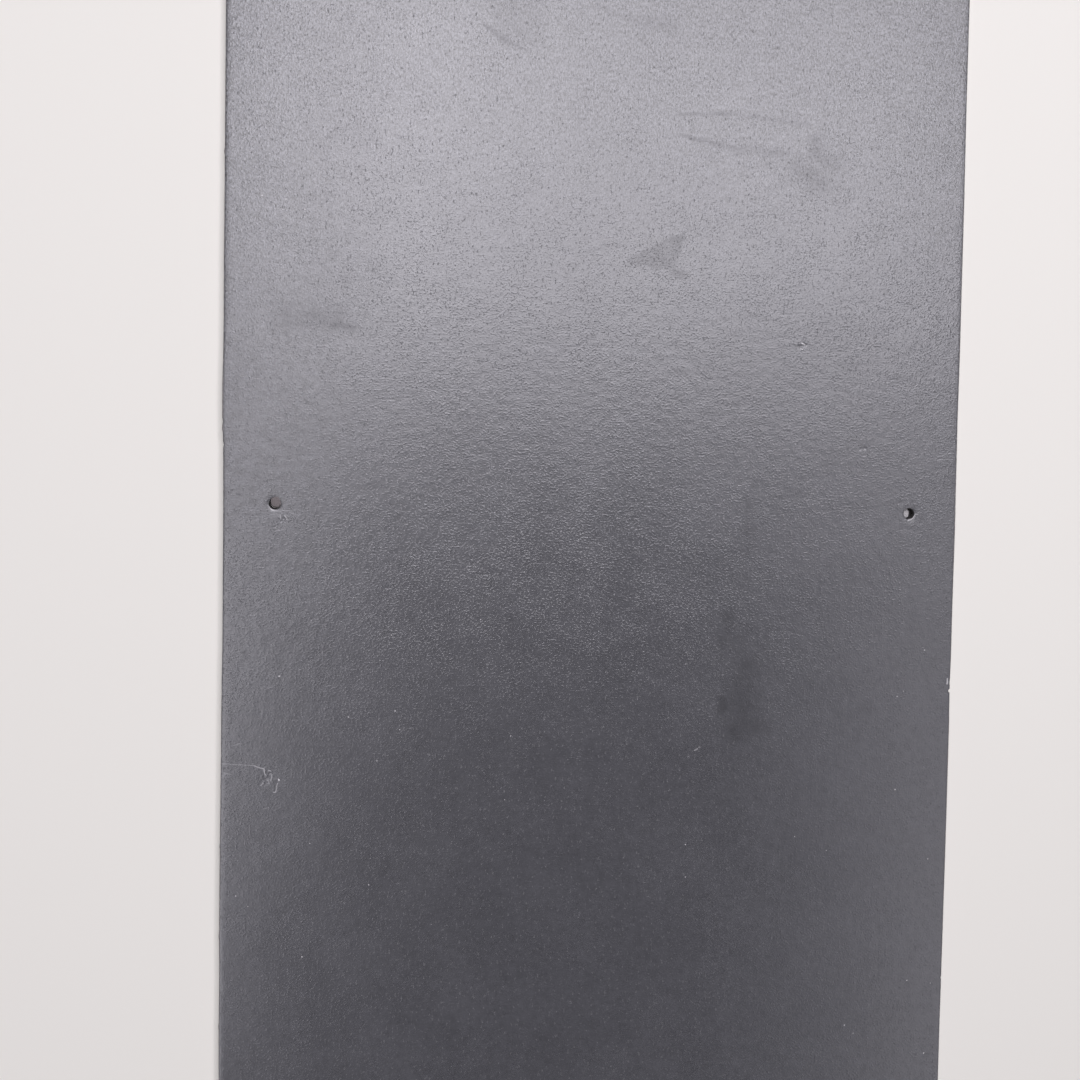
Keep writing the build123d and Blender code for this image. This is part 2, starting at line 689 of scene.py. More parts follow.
# crumbs of cement that the punch left in the nail holes, and in the right one a pale crumb that is painted
# light for the lit floor, over a dark sheet that is painted shade: x and y from the hole's middle, radius
# along X and Y, height of the top, thickness, lean in degrees along Y and X
crumbs = {
    "leftCrumb": {
        "hole": 0, "offset": (0.45, 0.82), "radius": (2.2, 2.2), "height": 3.7, "thick": 0.9, "lean": (6, 2),
        "finish": "crumb",
    },
    # pale: painted light for the floor lit through the right hole
    "rightCrumbPaintedLight": {
        "hole": 1, "offset": (-0.1, 0.3), "radius": (1.3, 1.95), "height": 1.3, "thick": 0.5, "lean": (4, -6),
        "finish": "crumb",
    },
    # a dark sheet under it: painted shade over the floor seen through the hole
    "rightShadeSheet": {
        "hole": 1, "offset": (0.1, 0.3), "radius": (2.3, 2.3), "height": 0.75, "thick": 0.4, "lean": (0, 0),
        "finish": "wall",
    },
}
crumbSegments = 22
crumbRoughness = (0.08, 0.7, 3.1)  # height, size, seed
crumbRims = ((0.1, 2.2, 5, 8.8), (0.05, 6, 0, 1.8))  # height, closeness, step from crumb to crumb, seed
# from the top to the bottom of a crumb: share of its radius, share of its thickness
crumbRounds = ((0.5, 0.0), (0.9, 0.04), (1.0, 0.25), (0.97, 0.9), (0.5, 1.0))


def leaveCrumb(body, number, crumb):
    # what the punch left in a nail hole
    cx, cy, _ = holePlaces()[crumb["hole"]]
    way = ringWay(crumbSegments)
    ragged = 1
    for height, close, step, seed in crumbRims:
        ragged = ragged + height * wander(way * close + step * number, 1.0, seed)
    leanX, leanY = [math.tan(math.radians(angle)) for angle in crumb["lean"]]
    middle = np.array([cx, cy]) + crumb["offset"]
    rough, size, seed = crumbRoughness
    rounds = []
    for share, drop in crumbRounds:
        points = way * crumb["radius"] * (share * ragged)[:, None]
        rise = points[:, 1] * leanX + points[:, 0] * leanY + rough * wander(points, size, seed + number)
        rounds.append(body.addCorners(points + middle, crumb["height"] + rise - drop * crumb["thick"]))
    for above, below in zip(rounds, rounds[1:]):
        body.addStrip(above, below, crumbSegments, crumb["finish"])
    top = body.addCorners(middle[None, :], [crumb["height"]])
    bottom = body.addCorners(middle[None, :], [crumb["height"] - crumb["thick"]])
    for i in range(crumbSegments):
        j = (i + 1) % crumbSegments
        body.addFace((rounds[0] + i, rounds[0] + j, top), crumb["finish"])
        body.addFace((rounds[-1] + j, rounds[-1] + i, bottom), crumb["finish"])


# pale flecks where a grain has lost its coat: x, y, radius
flecks = [
    (-127.1, 192.7, 0.3), (-135.3, 179.2, 0.32), (-126.2, 178.1, 0.4), (-127.3, 174.1, 0.28),
    (-119.0, 174.5, 0.35), (-127.2, -7.8, 0.4), (-83.7, 8.6, 0.25), (-48.4, 15.0, 0.25),
    (-82.0, -21.7, 0.3), (-79.9, -29.3, 0.25), (-100.1, -24.1, 0.25), (-35.5, -32.1, 0.25),
    (-88.8, -41.7, 0.28), (77.3, 74.5, 0.25), (126.7, -55.8, 0.3), (137.9, 3.1, 0.28),
    (129.1, -14.2, 0.27), (126.4, -16.4, 0.25), (-143.4, -94.9, 0.28), (-138.7, -99.2, 0.25),
    (-91.5, -91.6, 0.28), (-117.5, -120.0, 0.3), (-37.6, -58.0, 0.25), (-114.8, -74.5, 0.25),
    (134.2, -137.3, 0.32), (144.6, -138.8, 0.25), (147.0, -144.8, 0.3), (142.6, -168.9, 0.3),
    (147.4, -80.6, 0.25), (141.9, -85.5, 0.25), (107.3, -155.6, 0.3), (111.2, -159.2, 0.25),
    (97.4, -81.0, 0.25), (37.3, -77.5, 0.25), (37.6, -91.1, 0.25), (83.7, -75.1, 0.25),
]
fleckShape = {"corners": 7, "shortest": 0.6, "longest": 1.25}
# gaps that the net of points leaves
gaps = {
    "edge": 0.9,  # to the sheared edge
    "ring": 0.9,  # to the ring round a hole
    "patch": 0.3,  # to a patch of fine points
    "patchRing": 0.5,  # from the fine points to a ring
    "patchEdge": 0.5,  # and to the sheared edge
    "fleck": 0.25,
    "insideRing": 0.05,  # triangles with their middle this far inside a ring are left out
}


def layFace(body, loops):
    # an even net of points, closer where something has happened, and a fan at each fleck
    rings = [(cx, cy, holes["outerRing"]) for cx, cy, _ in holePlaces()]
    halfX = halfWidth - edge["flatInset"]
    halfY = halfLength - edge["flatInset"]
    seeds = sheet["seeds"]
    net = hexPoints(sheet["step"], halfX - gaps["edge"], halfY - gaps["edge"], seeds["net"])
    net = clearOf(net, rings, gaps["ring"])
    times, more = sheet["dentRoom"]
    patches = [(cx, cy, max(length, width) * times + more) for cx, cy, length, width, _, _ in dents]
    patches += [(cx, cy, radius * sheet["crumpleRoom"]) for cx, cy, radius, _ in crumples]
    limitX = halfX - gaps["patchEdge"]
    fine = []
    for number, patch in enumerate(patches):
        net = clearOf(net, [patch], gaps["patch"])
        points = clearOf(patchPoints(*patch, seeds["patch"] + number), rings, gaps["patchRing"])
        fine.append(points[np.abs(points[:, 0]) < limitX])
    spots = [(cx, cy, radius) for cx, cy, radius in flecks if abs(cx) + radius < limitX]
    net = clearOf(np.concatenate([net] + fine), spots, gaps["fleck"])
    rng = np.random.default_rng(seeds["fleck"])
    corners = fleckShape["corners"]
    rims = []
    for cx, cy, radius in spots:
        turn = np.arange(corners) / corners * 2 * math.pi + rng.uniform(0, 1)
        reach = radius * rng.uniform(fleckShape["shortest"], fleckShape["longest"], corners)
        rims.append(np.column_stack([cx + reach * np.cos(turn), cy + reach * np.sin(turn)]))
    centres = np.array([(cx, cy) for cx, cy, _ in spots])
    inside = np.concatenate([centres] + rims + [net])
    heights = sheet["faceLevel"] + faceRelief(inside)
    triangles, first = body.fill(loops, inside, heights, holes["outerRing"])
    bare = ((triangles >= first) & (triangles < first + len(centres))).any(axis=1)
    for triangle, isBare in zip(triangles.tolist(), bare):
        body.addFace(triangle, "fleck" if isBare else "coat")


back = {
    "step": 3.2,
    "level": 0.03,
    "waves": ((0.02, 45, 4.4), (0.01, 11, 6.6)),  # height, size, seed
    "edgeGap": 3.4,
    "ringGap": 1.2,
    "seed": 23,
}


def layBack(body, loops):
    # an even net, with its triangles turned to face down
    rings = [(cx, cy, holes["outerRing"]) for cx, cy, _ in holePlaces()]
    gap = back["edgeGap"]
    net = hexPoints(back["step"], halfWidth - gap, halfLength - gap, back["seed"])
    net = clearOf(net, rings, back["ringGap"])
    heights = back["level"] + waves(net, back["waves"])
    triangles, _ = body.fill(loops, net, heights, holes["outerRing"] - holes["backSetIn"])
    for a, b, c in triangles.tolist():
        body.addFace((a, c, b), "back")


def buildSheet():
    body = SheetMesh()
    faceLoop, backLoop = shearEdge(body)
    rings = [punchHole(body, number, *place) for number, place in enumerate(holePlaces())]
    for number, crumb in enumerate(crumbs.values()):
        leaveCrumb(body, number, crumb)
    layFace(body, [faceLoop] + [top for top, _ in rings])
    layBack(body, [backLoop] + [bottom for _, bottom in rings])
    return body.make("slateSheet")


slateSheet = buildSheet()
print("sheet built", len(slateSheet.data.polygons), "faces")


# shared effects, as node groups

def newGroup(name, inputs, outputs):
    group = bpy.data.node_groups.new(name, "ShaderNodeTree")
    for label, kind, value in inputs:
        socket = group.interface.new_socket(label, in_out="INPUT", socket_type=kind)
        if value is not None:
            socket.default_value = value
    for label in outputs:
        group.interface.new_socket(label, in_out="OUTPUT", socket_type="NodeSocketFloat")
    tree = Tree(group)
    return group, tree, tree.add("NodeGroupInput").outputs, tree.add("NodeGroupOutput").inputs


grainShape = {
    # noises: scale, detail, roughness
    "swell": (0.25, 1.0, 0.6),
    "patchy": (0.07, 2.0, 0.65),
    "ripple": (1.4, 1.0, 0.5),
    "pit": (1.15, 1.0, 0.55),
    "rippleStretch": (0.8, 1.0, 1.0),
    "pitStretch": (1.0, 0.5, 1.0),
    "patchyRange": (0.35, 0.65, 0.65, 1.15),  # where the noise runs from and to, and the depth at both
    "grainRange": (0.55, 0.8),
    "pitRange": (0.685, 0.79),
    "pitDepth": -0.5,
}


def makeGrainGroup(shape):
    # pressed grain of the sheet under its coat: broad swells, fine ripples, raised grains and short pits
    group, tree, given, result = newGroup(
        "pressedGrain",
        [
            ("Vector", "NodeSocketVector", None),
            ("Swell", "NodeSocketFloat", 1.0),
            ("Ripple", "NodeSocketFloat", 1.0),
            ("Grains", "NodeSocketFloat", 1.0),
            ("Pits", "NodeSocketFloat", 1.0),
        ],
        ["Height", "Pits"],
    )
    place = given["Vector"]
    swell = tree.noise(place, *shape["swell"], flat=True)
    patchy = tree.ramp(tree.noise(place, *shape["patchy"], flat=True), *shape["patchyRange"])
    ripple = tree.noise(tree.scaled(place, shape["rippleStretch"]), *shape["ripple"], flat=True)
    grains = tree.ramp(ripple, *shape["grainRange"])
    pit = tree.noise(tree.scaled(place, shape["pitStretch"]), *shape["pit"], flat=True)
    pit = tree.math("MULTIPLY", tree.ramp(pit, *shape["pitRange"]), given["Pits"])
    height = tree.math("MULTIPLY", ripple, given["Ripple"])
    height = tree.math("MULTIPLY_ADD", grains, given["Grains"], height)
    height = tree.math("MULTIPLY", height, patchy)
    height = tree.math("MULTIPLY_ADD", swell, given["Swell"], height)
    height = tree.math("MULTIPLY_ADD", pit, shape["pitDepth"], height)
    tree.join(height, result["Height"])
    tree.join(pit, result["Pits"])
    return group


def makeOutlineGroup():
    # how far in from the slate's outline
    group, tree, given, result = newGroup(
        "inFromEdge",
        [("Vector", "NodeSocketVector", None)],
        ["Distance"],
    )
    apart = tree.parts(tree.vector("ABSOLUTE", given["Vector"]))
    fromSide = tree.math("SUBTRACT", halfWidth, apart["X"])
    fromEnd = tree.math("SUBTRACT", halfLength, apart["Y"])
    tree.join(tree.math("MINIMUM", fromSide, fromEnd), result["Distance"])
    return group


def makeRubGroup():
    # one wipe of a mark: from one place to another, with a half width at each and soft sides
    group, tree, given, result = newGroup(
        "rubbedMark",
        [
            ("Vector", "NodeSocketVector", None),
            ("From", "NodeSocketVector", None),
            ("To", "NodeSocketVector", None),
            ("Start Width", "NodeSocketFloat", 1.0),
            ("End Width", "NodeSocketFloat", 1.0),
            ("Softness", "NodeSocketFloat", 0.5),
            ("Strength", "NodeSocketFloat", 1.0),
        ],
        ["Mask"],
    )
    run = tree.vector("SUBTRACT", given["To"], given["From"])
    local = tree.vector("SUBTRACT", given["Vector"], given["From"])
    share = tree.vector("DOT_PRODUCT", local, run)
    share = tree.math("DIVIDE", share, tree.vector("DOT_PRODUCT", run, run))
    share = tree.add("ShaderNodeClamp", {"Value": share}).outputs[0]
    beside = tree.add("ShaderNodeVectorMath", {0: run, "Scale": share}, operation="SCALE").outputs[0]
    widening = tree.math("SUBTRACT", given["End Width"], given["Start Width"])
    width = tree.math("MULTIPLY_ADD", share, widening, given["Start Width"])
    gap = tree.math("DIVIDE", tree.vector("DISTANCE", local, beside), width)
    inner = tree.math("SUBTRACT", 1.0, given["Softness"])
    outer = tree.math("ADD", 1.0, given["Softness"])
    mask = tree.ramp(gap, inner, outer, 1.0, 0.0)
    tree.join(tree.math("MULTIPLY", mask, given["Strength"]), result["Mask"])
    return group


grainGroup = makeGrainGroup(grainShape)
outlineGroup = makeOutlineGroup()
rubGroup = makeRubGroup()
print("node groups made")


coatLook = {
    "colour": (0.0712, 0.0718, 0.0792),
    "roughness": 0.2755,  # over 0.274, below which the denoiser treats the sheen in another way
    "specular": 1.0,
    # noises: scale, detail, roughness
    "cloud": (0.03, 2.0, 0.6),
    "mottleAndSheenFlicker": (0.38, 4.0, 0.8),
    "sheenStrokes": (1.1, 2.0, 0.7),
    "patchy": (0.22, 3.0, 0.6),
    "ragged": (0.5, 3.0, 0.5),
    "cloudRange": (0.3, 0.7),
    "cloudColours": (0.97, 1.03),  # the colour in a dark cloud and in a light one
    "cloudRough": 0.016,
    "grain": {"Swell": 0.6, "Ripple": 0.33, "Grains": 0.32, "Pits": 0.85},
    "reliefDepth": 0.13,
    "reliefFade": (-60.0, 60.0, 0.45, 1.0),  # the relief is shallower towards the tail
    "mottleContrast": 0.44,
    "calmContrast": 2.0,  # flatter places get a stronger mottle, painted sheen flicker that stands in for the relief's
    "calmRough": 0.065,  # and finely matt
    "strokeStretch": (1.5, 0.7, 1.0),
    "strokeFade": (80.0, 240.0, 1.0, 6.4),  # the painted sheen strokes are stronger towards the head, where the sheen is
    "greaseFills": 0.6,  # how far grease fills the grain
    "patchyRange": (0.3, 0.65, 0.62, 1.0),
    "wornRange": (0.6, 1.1, 0.7, 0.0),  # how far in the arris is worn, and how much
    # what lies on the coat: its tint, how far it covers, and how much rougher it is
    "dull": ((0.03, 0.029, 0.034), 0.6, 0.11),
    "greasy": ((0.024, 0.024, 0.027), 0.42, 0.0),
    # the pits' dark tint is painted shade in them
    "pits": ((0.022, 0.022, 0.024), 0.25, 0.22),
    # pale scratches and painted glints
    "scraped": ((0.6, 0.59, 0.6), 1.0, 0.2),
    "worn": ((0.15, 0.135, 0.13), 1.0, 0.3),
}
# rubbed marks on the face, each a list of wipes: from, to, half width at both, softness, strength
dullMarks = [
    # a thumb mark at the top of the view
    ((-50.5, 249.6), (-42.7, 244.2), 0.5, 1.6, 0.7, 0.8),
    ((-42.7, 244.2), (-33.6, 240.3), 1.4, 0.5, 0.7, 0.7),
    ((-39.0, 262.0), (-36.5, 250.0), 12.0, 9.0, 0.5, 0.35),
    ((-4.3, 259.5), (7.8, 254.8), 0.8, 1.4, 0.9, 0.35),
    ((7.8, 254.8), (24.0, 254.0), 1.4, 3.5, 0.9, 0.35),
    # two fine streaks that end in a smear
    ((27.3, 219.0), (49.5, 220.4), 0.5, 0.8, 0.9, 0.7),
    ((49.5, 220.4), (82.0, 217.6), 0.8, 1.0, 0.9, 0.4),
    ((29.1, 210.8), (51.9, 206.4), 0.5, 1.5, 0.9, 0.7),
    ((51.9, 206.4), (74.0, 205.6), 1.7, 1.5, 0.9, 0.5),
    ((85.2, 211.5), (85.3, 205.5), 2.4, 3.4, 0.9, 0.7),
    ((79.2, 199.9), (87.0, 195.0), 4.5, 5.5, 0.9, 0.5),
    ((86.0, 204.0), (93.0, 202.5), 4.0, 4.5, 0.9, 0.45),
    ((-12.6, 162.2), (8.0, 166.0), 0.5, 1.1, 0.9, 0.35),
    # the soft one on the left
    ((-108.0, 130.2), (-99.5, 130.0), 1.6, 1.1, 0.9, 1.0),
    ((-113.4, 133.0), (-101.0, 130.0), 3.6, 2.6, 0.9, 0.65),
    ((-124.0, 132.8), (-107.0, 133.4), 6.5, 5.5, 0.9, 0.5),
    ((-110.0, 174.5), (-108.4, 172.0), 1.2, 0.9, 0.9, 0.5),
    # faint hazes
    ((-108.0, 240.0), (-106.0, 150.0), 19.0, 19.0, 0.9, 0.22),
    ((60.0, 124.0), (100.0, 126.0), 16.0, 16.0, 0.9, 0.16),
]
# the sharp patch right of the middle
patchMarks = [
    ((10.5, 160.4), (20.5, 161.6), 2.0, 4.4, 0.2, 0.8),
    ((20.5, 162.0), (28.5, 168.5), 4.6, 2.6, 0.2, 0.8),
    ((25.0, 161.0), (31.4, 172.0), 3.8, 0.7, 0.3, 0.7),
    ((27.8, 155.6), (33.0, 154.8), 1.9, 1.4, 0.4, 0.8),
    ((80.9, 127.5), (81.9, 127.6), 0.62, 0.55, 0.4, 1.0),  # the bottom of the gouge, darkened as painted shade
]
greasyMarks = [
    # narrow smears that run down to the dark one
    ((60.2, 65.0), (61.6, 44.0), 1.6, 2.8, 0.95, 0.55),
    ((59.8, 62.0), (60.6, 50.0), 0.6, 0.9, 0.9, 0.75),
    ((63.6, 49.5), (62.4, 42.5), 0.7, 1.0, 0.9, 0.6),
    ((53.4, 19.4), (52.0, 3.0), 2.0, 3.4, 0.95, 0.6),
    ((58.0, 0.5), (61.0, 12.0), 3.0, 2.0, 0.95, 0.4),
    ((61.8, -3.5), (59.5, -14.0), 4.6, 5.6, 0.85, 0.8),
    ((51.7, -17.8), (52.0, -21.6), 1.9, 2.3, 0.7, 1.0),
    ((60.0, -17.0), (59.0, -24.0), 6.2, 6.6, 0.8, 0.8),
    ((57.0, -30.5), (64.0, -28.5), 4.0, 4.4, 0.85, 1.0),
    ((64.0, -27.0), (71.0, -29.5), 3.2, 2.6, 0.95, 0.65),
    ((113.2, -21.3), (114.6, -21.8), 2.6, 2.4, 0.95, 0.5),
]
# where the relief is pressed flatter: the far left, the far right and the very top of the view; there more
# mottle and strokes are painted in as sheen flicker
calmPlaces = [
    ((-152.0, 300.0), (-140.0, 90.0), 72.0, 40.0, 0.7, 0.5),
    ((152.0, 300.0), (132.0, 190.0), 52.0, 30.0, 0.8, 0.4),
    ((-150.0, 285.0), (150.0, 285.0), 108.0, 108.0, 0.6, 0.5),
]
# pale scratches, where the coat is scraped, and painted glints: round the gouge, on the chafed spot, on the
# rims of the nail holes and on the right edge
scratchesAndGlints = [
    ((-149.4, -42.2), (-136.9, -43.2), 0.12, 0.16, 0.5, 0.2),
    ((-136.9, -43.2), (-132.8, -44.6), 0.16, 0.24, 0.5, 0.45),
    ((-132.8, -44.6), (-132.4, -46.9), 0.28, 0.18, 0.5, 0.45),
    ((-131.1, -45.2), (-130.2, -45.5), 0.22, 0.18, 0.5, 0.4),
    ((-129.8, -46.8), (-130.2, -49.4), 0.18, 0.22, 0.5, 0.35),
    ((-130.8, -50.2), (-131.3, -49.0), 0.2, 0.14, 0.5, 0.3),
    ((-133.2, -50.2), (-134.0, -51.0), 0.28, 0.22, 0.6, 0.35),
    ((-127.2, -48.8), (-127.2, -49.1), 0.3, 0.3, 0.4, 0.9),
    ((-127.5, -50.2), (-128.3, -53.8), 0.16, 0.18, 0.5, 0.42),
    ((-128.3, -53.8), (-129.0, -53.8), 0.18, 0.2, 0.5, 0.5),
    ((-144.6, -35.1), (-142.3, -34.4), 0.2, 0.2, 0.6, 0.15),
    ((-148.4, -46.0), (-145.5, -46.6), 0.2, 0.2, 0.6, 0.15),
    ((-132.9, -60.4), (-131.0, -59.9), 0.2, 0.2, 0.6, 0.15),
    ((40.2, -38.5), (41.3, -38.0), 0.26, 0.3, 0.7, 0.35),
    ((42.0, -37.4), (42.6, -37.2), 0.2, 0.2, 0.8, 0.25),
    # a painted glint on the right edge
    ((148.3, -9.0), (148.2, -11.0), 0.28, 0.34, 0.4, 0.6),
    # glints round the gouge
    ((81.7, 129.2), (82.9, 128.8), 0.28, 0.16, 0.5, 0.9),
    ((81.2, 126.9), (82.0, 126.6), 0.2, 0.16, 0.6, 0.5),
    # the chafed spot below the left nail hole, its bright bits painted highlights on the flakes
    ((-125.6, 55.5), (-124.8, 54.3), 0.2, 0.28, 0.5, 0.5),
    ((-127.4, 55.7), (-127.2, 54.2), 0.14, 0.22, 0.5, 0.4),
    ((-127.2, 57.6), (-122.8, 57.2), 0.14, 0.14, 0.6, 0.3),
    ((-129.3, 50.2), (-127.9, 50.0), 0.14, 0.14, 0.6, 0.3),
    # painted highlights on the rims of the nail holes
    ((-131.6, 58.4), (-130.4, 57.5), 0.16, 0.24, 0.5, 0.5),
    ((-130.4, 57.5), (-129.0, 57.5), 0.24, 0.1, 0.5, 0.4),
    ((129.2, 57.4), (131.0, 58.0), 0.2, 0.24, 0.5, 0.6),
    ((131.0, 58.0), (131.9, 59.3), 0.22, 0.12, 0.5, 0.5),
]


# each kind of mark: its wipes, how far their outlines stray, and how closely
markKinds = {
    "dull": (dullMarks, 2.0, 0.2),
    "patch": (patchMarks, 3.0, 0.35),
    "greasy": (greasyMarks, 2.4, 0.2),
    "scraped": (scratchesAndGlints, 0.6, 0.35),
}
markRoom = 2.0  # this far round a mark counts as reached by it


def reachedBy(centres, marks, stray):
    # which faces a kind of mark reaches
    reached = np.zeros(len(centres), bool)
    for start, end, startWidth, endWidth, softness, _ in marks:
        run = np.subtract(end, start)
        local = centres - start
        share = np.clip(local @ run / (run @ run), 0, 1)
        gap = np.hypot(*(local - share[:, None] * run).T)
        reached |= gap < max(startWidth, endWidth) * (1 + softness) + stray / 2 + markRoom
    return reached


def splitCoat(slate, firstSlot):
    # coat faces that the same kinds of mark reach get a slot of their own, so that the rest renders faster
    polygons = slate.data.polygons
    centres = np.empty(len(polygons) * 3)
    polygons.foreach_get("center", centres)
    centres = centres.reshape(-1, 3)[:, :2] / mm
    slots = np.empty(len(polygons), int)
    polygons.foreach_get("material_index", slots)
    coat = slots == slotOf["coat"]
    reached = np.array([reachedBy(centres, marks, stray) for marks, stray, _ in markKinds.values()])
    groups = []
    for pattern in np.unique(reached[:, coat], axis=1).T:
        if pattern.any():
            slots[coat & (reached == pattern[:, None]).all(axis=0)] = firstSlot + len(groups)
            groups.append([kind for kind, present in zip(markKinds, pattern) if present])
    polygons.foreach_set("material_index", slots)
    return groups


def wobbled(tree, place, fineness):
    # how the outlines of marks wander, from -0.5 to 0.5
    wobble = tree.add(
        "ShaderNodeTexNoise",
        {"Vector": place, "Scale": fineness, "Detail": 3.0, "Roughness": 0.6},
        noise_dimensions="2D",
    )
    return tree.vector("SUBTRACT", wobble.outputs["Color"], (0.5, 0.5, 0.5))


def layMarks(tree, place, marks, fineness=None, stray=0.0):
    # all wipes of one kind; their outlines wander where a fineness is given
    if fineness:
        wobble = tree.scaled(wobbled(tree, place, fineness), (stray, stray, 0.0))
        place = tree.vector("ADD", place, wobble)
    place = tree.scaled(place, (1.0, 1.0, 0.0))
    total = None
    for start, end, startWidth, endWidth, softness, strength in marks:
        mask = tree.use(rubGroup, {
            "Vector": place,
            "From": (*start, 0.0),
            "To": (*end, 0.0),
            "Start Width": startWidth,
            "End Width": endWidth,
            "Softness": softness,
            "Strength": strength,
        })["Mask"]
        total = mask if total is None else tree.math("MAXIMUM", total, mask)
    return total


def makeCoat(look, kinds):
    # the coated face, with the kinds of mark that this part of it has
    material, tree = newMaterial("_".join(["coatedFace"] + kinds))
    place = tree.place()
    along = tree.parts(place)["Y"]
    calm = layMarks(tree, place, calmPlaces)
    found = {}
    for kind in kinds:
        marks, stray, fineness = markKinds[kind]
        found[kind] = layMarks(tree, place, marks, fineness, stray)
    greasy = found.get("greasy", 0.0)
    grain = tree.use(grainGroup, {"Vector": place, **look["grain"]})
    filled = tree.math("MAXIMUM", calm, tree.math("MULTIPLY", greasy, look["greaseFills"]))
    # the grain's pits, darkened below as painted shade
    found["pits"] = tree.math("MULTIPLY", grain["Pits"], tree.math("SUBTRACT", 1.0, greasy))
    if "patch" in found:
        found["dull"] = tree.math("MAXIMUM", found.get("dull", 0.0), found["patch"])
    patchy = tree.ramp(tree.noise(place, *look["patchy"], flat=True), *look["patchyRange"])
    for kind in ("dull", "greasy"):
        if kind in found:
            found[kind] = tree.math("MULTIPLY", found[kind], patchy)
    inset = tree.use(outlineGroup, {"Vector": place})["Distance"]
    ragged = tree.math("MULTIPLY_ADD", tree.noise(place, *look["ragged"], flat=True), 0.5, inset)
    found["worn"] = tree.ramp(ragged, *look["wornRange"])

    # colour: clouds, a mottle, more mottle and strokes on the flatter places as painted sheen flicker, and
    # what lies on it
    cloud = tree.ramp(tree.noise(place, *look["cloud"], flat=True), *look["cloudRange"])
    dark, light = [opaque([part * factor for part in look["colour"]]) for factor in look["cloudColours"]]
    colour = tree.mixColour(cloud, dark, light)
    mottleAndSheenFlicker = tree.noise(place, *look["mottleAndSheenFlicker"])
    contrast = tree.math("MULTIPLY_ADD", calm, look["calmContrast"], look["mottleContrast"])
    mottleAndSheenFlicker = tree.math("MULTIPLY_ADD", tree.math("SUBTRACT", mottleAndSheenFlicker, 0.5), contrast, 0.5)
    sheenStrokes = tree.noise(tree.scaled(place, look["strokeStretch"]), *look["sheenStrokes"], flat=True)
    sheenStrokes = tree.math("SUBTRACT", sheenStrokes, 0.5)
    sheenStrokes = tree.math("MULTIPLY", sheenStrokes, tree.ramp(along, *look["strokeFade"]))
    mottleAndSheenFlicker = tree.math("ADD", mottleAndSheenFlicker, tree.math("MULTIPLY", sheenStrokes, calm))
    shade = tree.mixColour(mottleAndSheenFlicker, opaque((0.0, 0.0, 0.0)), opaque((2.0, 2.0, 2.0)))
    colour = tree.mixColour(1.0, colour, shade, "MULTIPLY")
    rough = tree.math("MULTIPLY_ADD", cloud, look["cloudRough"], look["roughness"])
    rough = tree.math("MULTIPLY_ADD", calm, look["calmRough"], rough)
    for kind in ("dull", "greasy", "pits", "scraped", "worn"):
        if kind in found:
            tint, cover, rougher = look[kind]
            colour = tree.tinted(colour, found[kind], cover, tint)
            rough = tree.math("MULTIPLY_ADD", found[kind], rougher, rough)

    height = tree.math("MULTIPLY", grain["Height"], tree.ramp(along, *look["reliefFade"]))
    level = tree.add("ShaderNodeNewGeometry").outputs["Normal"]
    normal = tree.mixVector(filled, tree.bump(height, look["reliefDepth"]), level)
    tree.finish({
        "Base Color": colour,
        "Roughness": rough,
        "Specular IOR Level": look["specular"],
        "Normal": tree.vector("NORMALIZE", normal),
    })
    return material


# in this look and the next ones a noise is its scale, detail and roughness, and a depth is the bump's
edgeLook = {
    "cement": (0.17, 0.155, 0.15),
    "coat": (0.07, 0.068, 0.072),
    "coatRange": (0.62, 0.86),
    "layers": (1.0, 4.0, 0.6),
    "layerStretch": (0.25, 0.25, 3.2),
    "layerCover": 0.6,
    "layerDepth": 1.2,
    "patches": (0.8, 3.0, 0.6),
    "grit": (4.0, 2.0, 0.6),
    "gritDepth": 0.5,
    "roughness": 0.75,
    "specular": 0.4,
    "depth": 0.08,
}


def makeEdge(look):
    # the sheared edge: laminated cement that took the coat unevenly
    material, tree = newMaterial("shearedEdge")
    place = tree.place()
    layers = tree.noise(tree.scaled(place, look["layerStretch"]), *look["layers"])
    covered = tree.math("MULTIPLY_ADD", layers, look["layerCover"], tree.noise(place, *look["patches"]))
    covered = tree.ramp(covered, *look["coatRange"])
    height = tree.math("MULTIPLY", tree.noise(place, *look["grit"]), look["gritDepth"])
    height = tree.math("MULTIPLY_ADD", layers, look["layerDepth"], height)
    tree.finish({
        "Base Color": tree.mixColour(covered, opaque(look["cement"]), opaque(look["coat"])),
        "Roughness": look["roughness"],
        "Specular IOR Level": look["specular"],
        "Normal": tree.bump(height, look["depth"]),
    })
    return material


backLook = {
    "cement": (0.20, 0.195, 0.19),
    "dark": (0.13, 0.128, 0.13),
    "cloud": (0.02, 4.0, 0.6),
    "cloudRange": (0.35, 0.65),
    "fine": (0.35, 3.0, 0.6),
    "dust": (0.11, 0.11, 0.115),
    "dustRange": (0.35, 0.75, 0.0, 0.35),
    "overspray": (0.07, 0.07, 0.075),
    "oversprayRange": (-3.0, 1.5, 0.9, 0.0),
    "creep": (0.09, 4.0, 0.65),
    "creepReach": -9.0,
    "weft": ("X", 0.42),  # direction and scale of the felt's print
    "warp": ("Y", 0.3),
    "printDepth": 0.5,
    "roughness": 0.82,
    "specular": 0.3,
    "depth": 0.06,
}


def feltPrint(tree, place, direction, scale):
    inputs = {"Vector": place, "Scale": scale, "Distortion": 2.0, "Detail": 2.0, "Detail Scale": 0.4}
    return tree.add("ShaderNodeTexWave", inputs, bands_direction=direction).outputs["Fac"]


